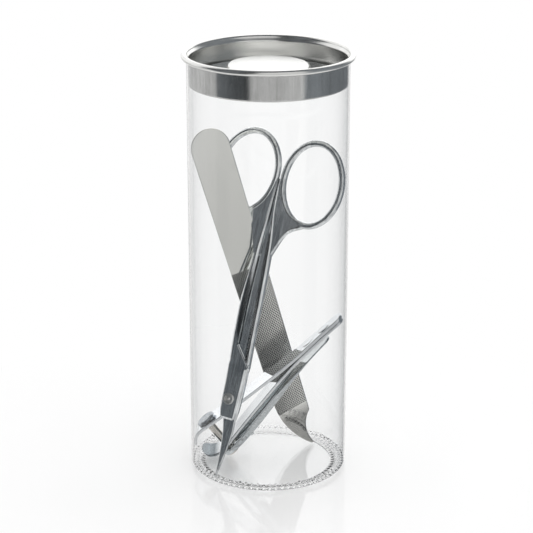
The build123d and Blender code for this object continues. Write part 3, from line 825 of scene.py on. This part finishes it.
# ================================================================ nail file
def file_material():
    """Polished blade with a crossed cut: light teeth and dark dots of painted shade between them."""
    material, tree, shader = new_material("file_steel")
    calc = partial(math, tree)
    flat = plane_place(tree, file_place, MM)
    parts = split(tree, flat)
    u, v = parts["X"], parts["Y"]
    across = calc("COSINE", calc("MULTIPLY", u, 2 * pi / TOOTH_U))
    along = calc("COSINE", calc("MULTIPLY", v, 2 * pi / TOOTH_V))
    dots = span(tree, calc("MULTIPLY", across, along), 0.05, 0.3)
    above_foot = calc("GREATER_THAN", v, calc("MULTIPLY_ADD", u, CUT_LEAN, CUT_FOOT))
    cut = calc("MULTIPLY", above_foot, calc("LESS_THAN", v, CUT_TOP))
    wear = node(tree, "ShaderNodeTexNoise", Vector=flat, Scale=0.16, Detail=3.0).outputs["Fac"]
    depth = calc("MULTIPLY_ADD", wear, 0.3, 0.85)
    pit_depth_and_painted_shade = calc("MULTIPLY", calc("MULTIPLY", dots, cut), depth)
    # painted shade: the flanks of the claw's bosses are painted as dark as the dots of the cut
    rise = calc("SUBTRACT", calc("ABSOLUTE", parts["Z"]), FILE_HALF)
    flank = calc("MULTIPLY", calc("GREATER_THAN", rise, 0.012), calc("LESS_THAN", rise, 0.13))
    pit_depth_and_painted_shade = calc("MAXIMUM", pit_depth_and_painted_shade, calc("MULTIPLY", flank, calc("SUBTRACT", 0.85, cut)))
    # the colour is darker towards the foot; painted shade darkens the cut towards its left side
    foot = span(tree, v, 12.0, 9.0, 1.0, 0.45)
    side = span(tree, u, -6.0, 1.0, 0.5, 0.95)
    worked = calc("MULTIPLY_ADD", cut, calc("SUBTRACT", side, 1.0), 1.0)
    plain = blend(tree, 1.0, (0.95, 0.95, 0.91, 1), calc("MULTIPLY", foot, worked), "MULTIPLY")
    ridges = node(tree, "ShaderNodeBump", invert=True, Strength=0.6, Distance=0.00005, Height=pit_depth_and_painted_shade)
    # painted shade: the dots of the cut and the bosses' flanks are painted near black
    feed(
        shader,
        Metallic=1.0,
        Base_Color=blend(tree, pit_depth_and_painted_shade, plain, (0.03, 0.03, 0.03, 1)),
        Roughness=calc("MULTIPLY_ADD", cut, 0.12, 0.08),
        Normal=ridges.outputs["Normal"],
    )
    return material


def file_blade():
    """Flat blade with a round head and a claw at its foot."""
    hollow = arc_line((0.4, 0), (-0.45, 4.9), FILE_LOW)
    crown = arc_line(FILE_HIGH, (-1.75, 92.3), (FILE_LEFT_U, FILE_HIGH[1]), 28)
    back = arc_line((FILE_LEFT_U, 13.5), (-4.9, 6.1), (-0.4, 0))
    return plate(hollow + crown + back, -FILE_HALF, FILE_HALF, 0.3, 4)


def file_right(v):
    """Right edge of the file at a height."""
    share = (v - FILE_LOW[1]) / (FILE_HIGH[1] - FILE_LOW[1])
    return FILE_LOW[0] + share * (FILE_HIGH[0] - FILE_LOW[0])


def cut_teeth():
    """Rows of small raised teeth on both faces."""
    bm = bmesh.new()
    left = FILE_LEFT_U + TOOTH_MARGIN
    for row in range(1, int(CUT_TOP / (TOOTH_V / 2)) + 1):
        v = row * TOOTH_V / 2
        right = file_right(v) - TOOTH_MARGIN
        for place in range(int(left / TOOTH_U), 8):
            u = (place + (0.5 if row % 2 == 0 else 0)) * TOOTH_U
            if not left < u < right or v < CUT_FOOT + u * CUT_LEAN:
                continue
            for side in (1, -1):
                turn = Matrix.Diagonal((1, 0.85, side, 1)) @ Matrix.Rotation(pi / 4, 4, "Z")
                spot = Matrix.Translation((u, v, side * (FILE_HALF + 0.015)))
                bmesh.ops.create_cone(
                    bm,
                    cap_ends=True,
                    segments=4,
                    radius1=0.24,
                    radius2=0.11,
                    depth=0.07,
                    matrix=spot @ turn,
                )
    bmesh.ops.recalc_face_normals(bm, faces=bm.faces)
    return bm


def claw_grips():
    """Row of small oval bosses across the claw, on both faces."""
    bm = bmesh.new()
    turn = Matrix.Rotation(radians(8), 4, "Z") @ Matrix.Diagonal((*GRIP_SIZE, 1))
    for u, v in arc_line((-4.7, 9.3), (-2.6, 7.5), (-1.1, 4.8), 6):
        for side in (1, -1):
            spot = Matrix.Translation((u, v, side * (FILE_HALF - GRIP_SINK)))
            bmesh.ops.create_uvsphere(bm, u_segments=16, v_segments=8, radius=1.0, matrix=spot @ turn)
    return bm


file_bm = placed(join(file_blade(), cut_teeth(), claw_grips()), file_place)
piece("nail_file_blade", file_bm, "file_body", "nail_file", file_material())


# ================================================================ clipper
slope = radians(CLIPPER_SLOPE)
clipper_along = Vector((-cos(slope), 0, -sin(slope)))
clipper_up = Vector((-sin(slope), 0, cos(slope)))
clipper_place = plane_matrix(
    Vector(CLIPPER_REAR), clipper_along, clipper_up.cross(clipper_along), clipper_up
)
across_clipper = Vector((0, 1, 0))
post_up = clipper_up.copy()
post_up.rotate(Quaternion(across_clipper, radians(POST_LEAN)))
post_place = plane_matrix(
    clipper_place @ Vector((POST_STATION, 0, 0)), across_clipper.cross(post_up), across_clipper, post_up
)


def jaw_painted_reflection_chrome():
    """Chrome with a painted dark reflection that deepens towards the cutting edge."""
    material = CHROME.copy()
    material.name = "jaw_painted_reflection_chrome"
    tree = material.node_tree
    shader = tree.nodes["Principled BSDF"]
    bright = shader.inputs["Base Color"].links[0].from_socket
    station = split(tree, plane_place(tree, clipper_place, MM))["X"]
    # painted reflection: the base colour turns dark blue-grey towards the lower jaw's cutting edge
    shade = blend(tree, span(tree, station, *JAW_PAINTED_REFLECTION), bright, (0.20, 0.23, 0.25, 1))
    feed(shader, Base_Color=shade)
    return material


def rivet(station, radius, head_radius, head_height):
    """Rivet with a low domed head on the upper leaf."""
    low = RIVET_TOP + 0.01
    dome = [(head_radius * cos(a) ** 0.6, low + head_height * sin(a)) for a in quarter_turn(8)[:-1]]
    shaft = [(0, RIVET_FOOT), (radius, RIVET_FOOT), (radius, RIVET_TOP)]
    bm = lathe(shaft + dome + [(0, low + head_height)], 40)
    bmesh.ops.translate(bm, vec=(station, 0, 0), verts=bm.verts)
    return placed(bm, clipper_place)


rivets = join(rivet(5.9, 1.1, 1.75, 0.36), rivet(11.5, 1.3, 1.55, 0.16))
post_bar = lathe(
    [
        (0, POST_FOOT_T - 0.5),
        (POST_FOOT_R - 0.15, POST_FOOT_T - 0.5),
        (POST_FOOT_R, POST_FOOT_T - 0.35),
        (POST_FOOT_R, POST_FOOT_T),
        (POST_R, POST_FOOT_T),
        (POST_R, POST_HEAD_T - 0.35),
        (POST_R - 0.05, POST_HEAD_T - 0.3),
        (POST_R - 0.05, POST_HEAD_T),
        (0, POST_HEAD_T),
    ],
    48,
)
post_head = lathe(
    [
        (0, 2.96),
        (2.3, 2.96),
        (2.5, 3.06),
        (2.58, 3.24),
        (2.52, 3.48),
        (2.35, 3.66),
        (2.12, 3.74),
        (1.92, 3.72),
        (1.78, 3.62),
        (1.3, 3.57),
        (0, 3.55),
    ],
    48,
)
placed(post_bar, post_place)
placed(post_head, post_place)
upper_leaf = softened("clipper_upper_leaf", LEAF_EDGE_R)
lower_leaf = softened("clipper_lower_leaf", LEAF_EDGE_R)
lever = softened("clipper_lever", LEVER_EDGE_R)
piece("clipper_upper", upper_leaf, "clipper", "clipper_upper_leaf", CHROME)
piece("clipper_lower", lower_leaf, "clipper_jaw", "clipper_lower_leaf", jaw_painted_reflection_chrome())
piece("clipper_rivet_pair", rivets, "clipper", "clipper_rivets", CHROME)
piece("clipper_pull_post", post_bar, "post_body", "clipper_post", POST_STEEL)
piece("clipper_post_head", post_head, "post_body", "clipper_post", HEAD_STEEL)
piece("clipper_lever_arm", lever, "lever_body", "clipper_lever", LEVER_STEEL)


# ================================================================ camera, floor and light
CAMERA_LENS = 124.6
CAMERA_PLACE = (-0.00045, -0.440, 0.2043)
CAMERA_TILT = 0.3304
FLOOR_R = 0.2
FLOOR_FADE = (0.03, 0.10)      # the floor turns to plain white between these distances
# brightness of the studio by degrees round the case, 0 in front and positive to the right
LOW_SIDES = (
    (-180, 0.66), (-160, 0.60), (-150, 0.40), (-81, 0.38), (-76, 0.10), (-29, 0.03),
    (-23, 0.38), (49, 0.40), (55, 0.16), (148, 0.12), (157, 0.60), (180, 0.66),
)
HIGH_SIDES = (
    (-180, 0.85), (-170, 0.85), (-164, 0.72), (-140, 0.66), (-101, 0.56), (-92, 0.06),
    (-70, 0.03), (-58, 0.085), (-39, 0.065), (-35, 0.012), (-17, 0.012), (-13, 0.42),
    (45, 0.45), (54, 0.12), (125, 0.10), (140, 0.80), (180, 0.85),
)
SIDES_MEET = (-0.16, -0.04)    # heights of a direction between the low and the high sides
OVERHEAD_FROM = (0.75, 0.9)
GROUND_FROM = (-0.55, -0.7)
OVERHEAD = (0.05, 0.055, 0.06, 1)
GROUND = (0.50, 0.50, 0.50, 1)

camera_data = bpy.data.cameras.new("camera")
camera_data.lens = CAMERA_LENS
camera_data.sensor_width = 36.0
camera_data.clip_start = 0.01
camera = bpy.data.objects.new("camera", camera_data)
camera.location = CAMERA_PLACE
camera.rotation_euler = (pi / 2 - CAMERA_TILT, 0, 0)
scene.collection.objects.link(camera)
scene.camera = camera


def floor_material():
    """Pale floor with soft shadows near the case, plain white further out; reflections miss it."""
    material, tree, shader = new_material("floor_pale")
    feed(shader, Base_Color=(0.97, 0.97, 0.97, 1), Roughness=0.07, Specular_IOR_Level=0.5)
    fade = span(tree, length(tree, object_place(tree)), *FLOOR_FADE)
    white = tree.nodes.new("ShaderNodeEmission")
    unseen = tree.nodes.new("ShaderNodeBsdfTransparent")
    seen = shader_mix(tree, fade, shader.outputs[0], white.outputs[0])
    whole = shader_mix(tree, mirrored_rays(tree), seen, unseen.outputs[0])
    feed(tree.nodes["Material Output"], Surface=whole)
    return material


floor_bm = bmesh.new()
bmesh.ops.create_circle(floor_bm, cap_ends=True, segments=96, radius=FLOOR_R)
floor_mesh = bpy.data.meshes.new("floor")
floor_bm.to_mesh(floor_mesh)
floor_bm.free()
floor_mesh.materials.append(floor_material())
floor = bpy.data.objects.new("floor", floor_mesh)
scene.collection.objects.link(floor)


def direction_ramp(tree, share, stops):
    """Colour of the studio by direction, a little blue where it is dark."""
    made = node(tree, "ShaderNodeValToRGB", share)
    elements = made.color_ramp.elements
    for degrees, _ in stops[1:-1]:
        elements.new(degrees / 360 + 0.5)
    for element, (_, value) in zip(elements, stops):
        blue = 0.08 if value < 0.3 else 0.0
        element.color = (value * (1 - blue), value, value * (1 + blue), 1)
    return made.outputs[0]


def studio_world():
    """White studio; reflections see its darker sides instead, by direction round the case."""
    world = bpy.data.worlds.new("studio")
    scene.world = world
    world.use_nodes = True
    tree = world.node_tree
    tree.nodes.clear()
    place = tree.nodes.new("ShaderNodeTexCoord").outputs["Generated"]
    parts = split(tree, place)
    azimuth = math(tree, "ARCTAN2", parts["X"], math(tree, "MULTIPLY", parts["Y"], -1.0))
    share = span(tree, azimuth, -pi, pi)
    low = direction_ramp(tree, share, LOW_SIDES)
    high = direction_ramp(tree, share, HIGH_SIDES)
    sides = blend(tree, span(tree, parts["Z"], *SIDES_MEET), low, high)
    roofed = blend(tree, span(tree, parts["Z"], *OVERHEAD_FROM), sides, OVERHEAD)
    whole = blend(tree, span(tree, parts["Z"], *GROUND_FROM), roofed, GROUND)
    patches = node(tree, "ShaderNodeTexNoise", Vector=place, Scale=5.0, Detail=4.0, Roughness=0.65)
    patchy = span(tree, patches.outputs["Fac"], 0.3, 0.7, 0.72, 1.28)
    room = node(tree, "ShaderNodeBackground", Strength=1.5)
    feed(room, Color=blend(tree, 1.0, whole, patchy, "MULTIPLY"))
    white = node(tree, "ShaderNodeBackground", Color=(1, 1, 1, 1), Strength=1.0)
    seen = shader_mix(tree, mirrored_rays(tree), white.outputs[0], room.outputs[0])
    node(tree, "ShaderNodeOutputWorld", Surface=seen)


studio_world()
scene.view_settings.view_transform = "Standard"
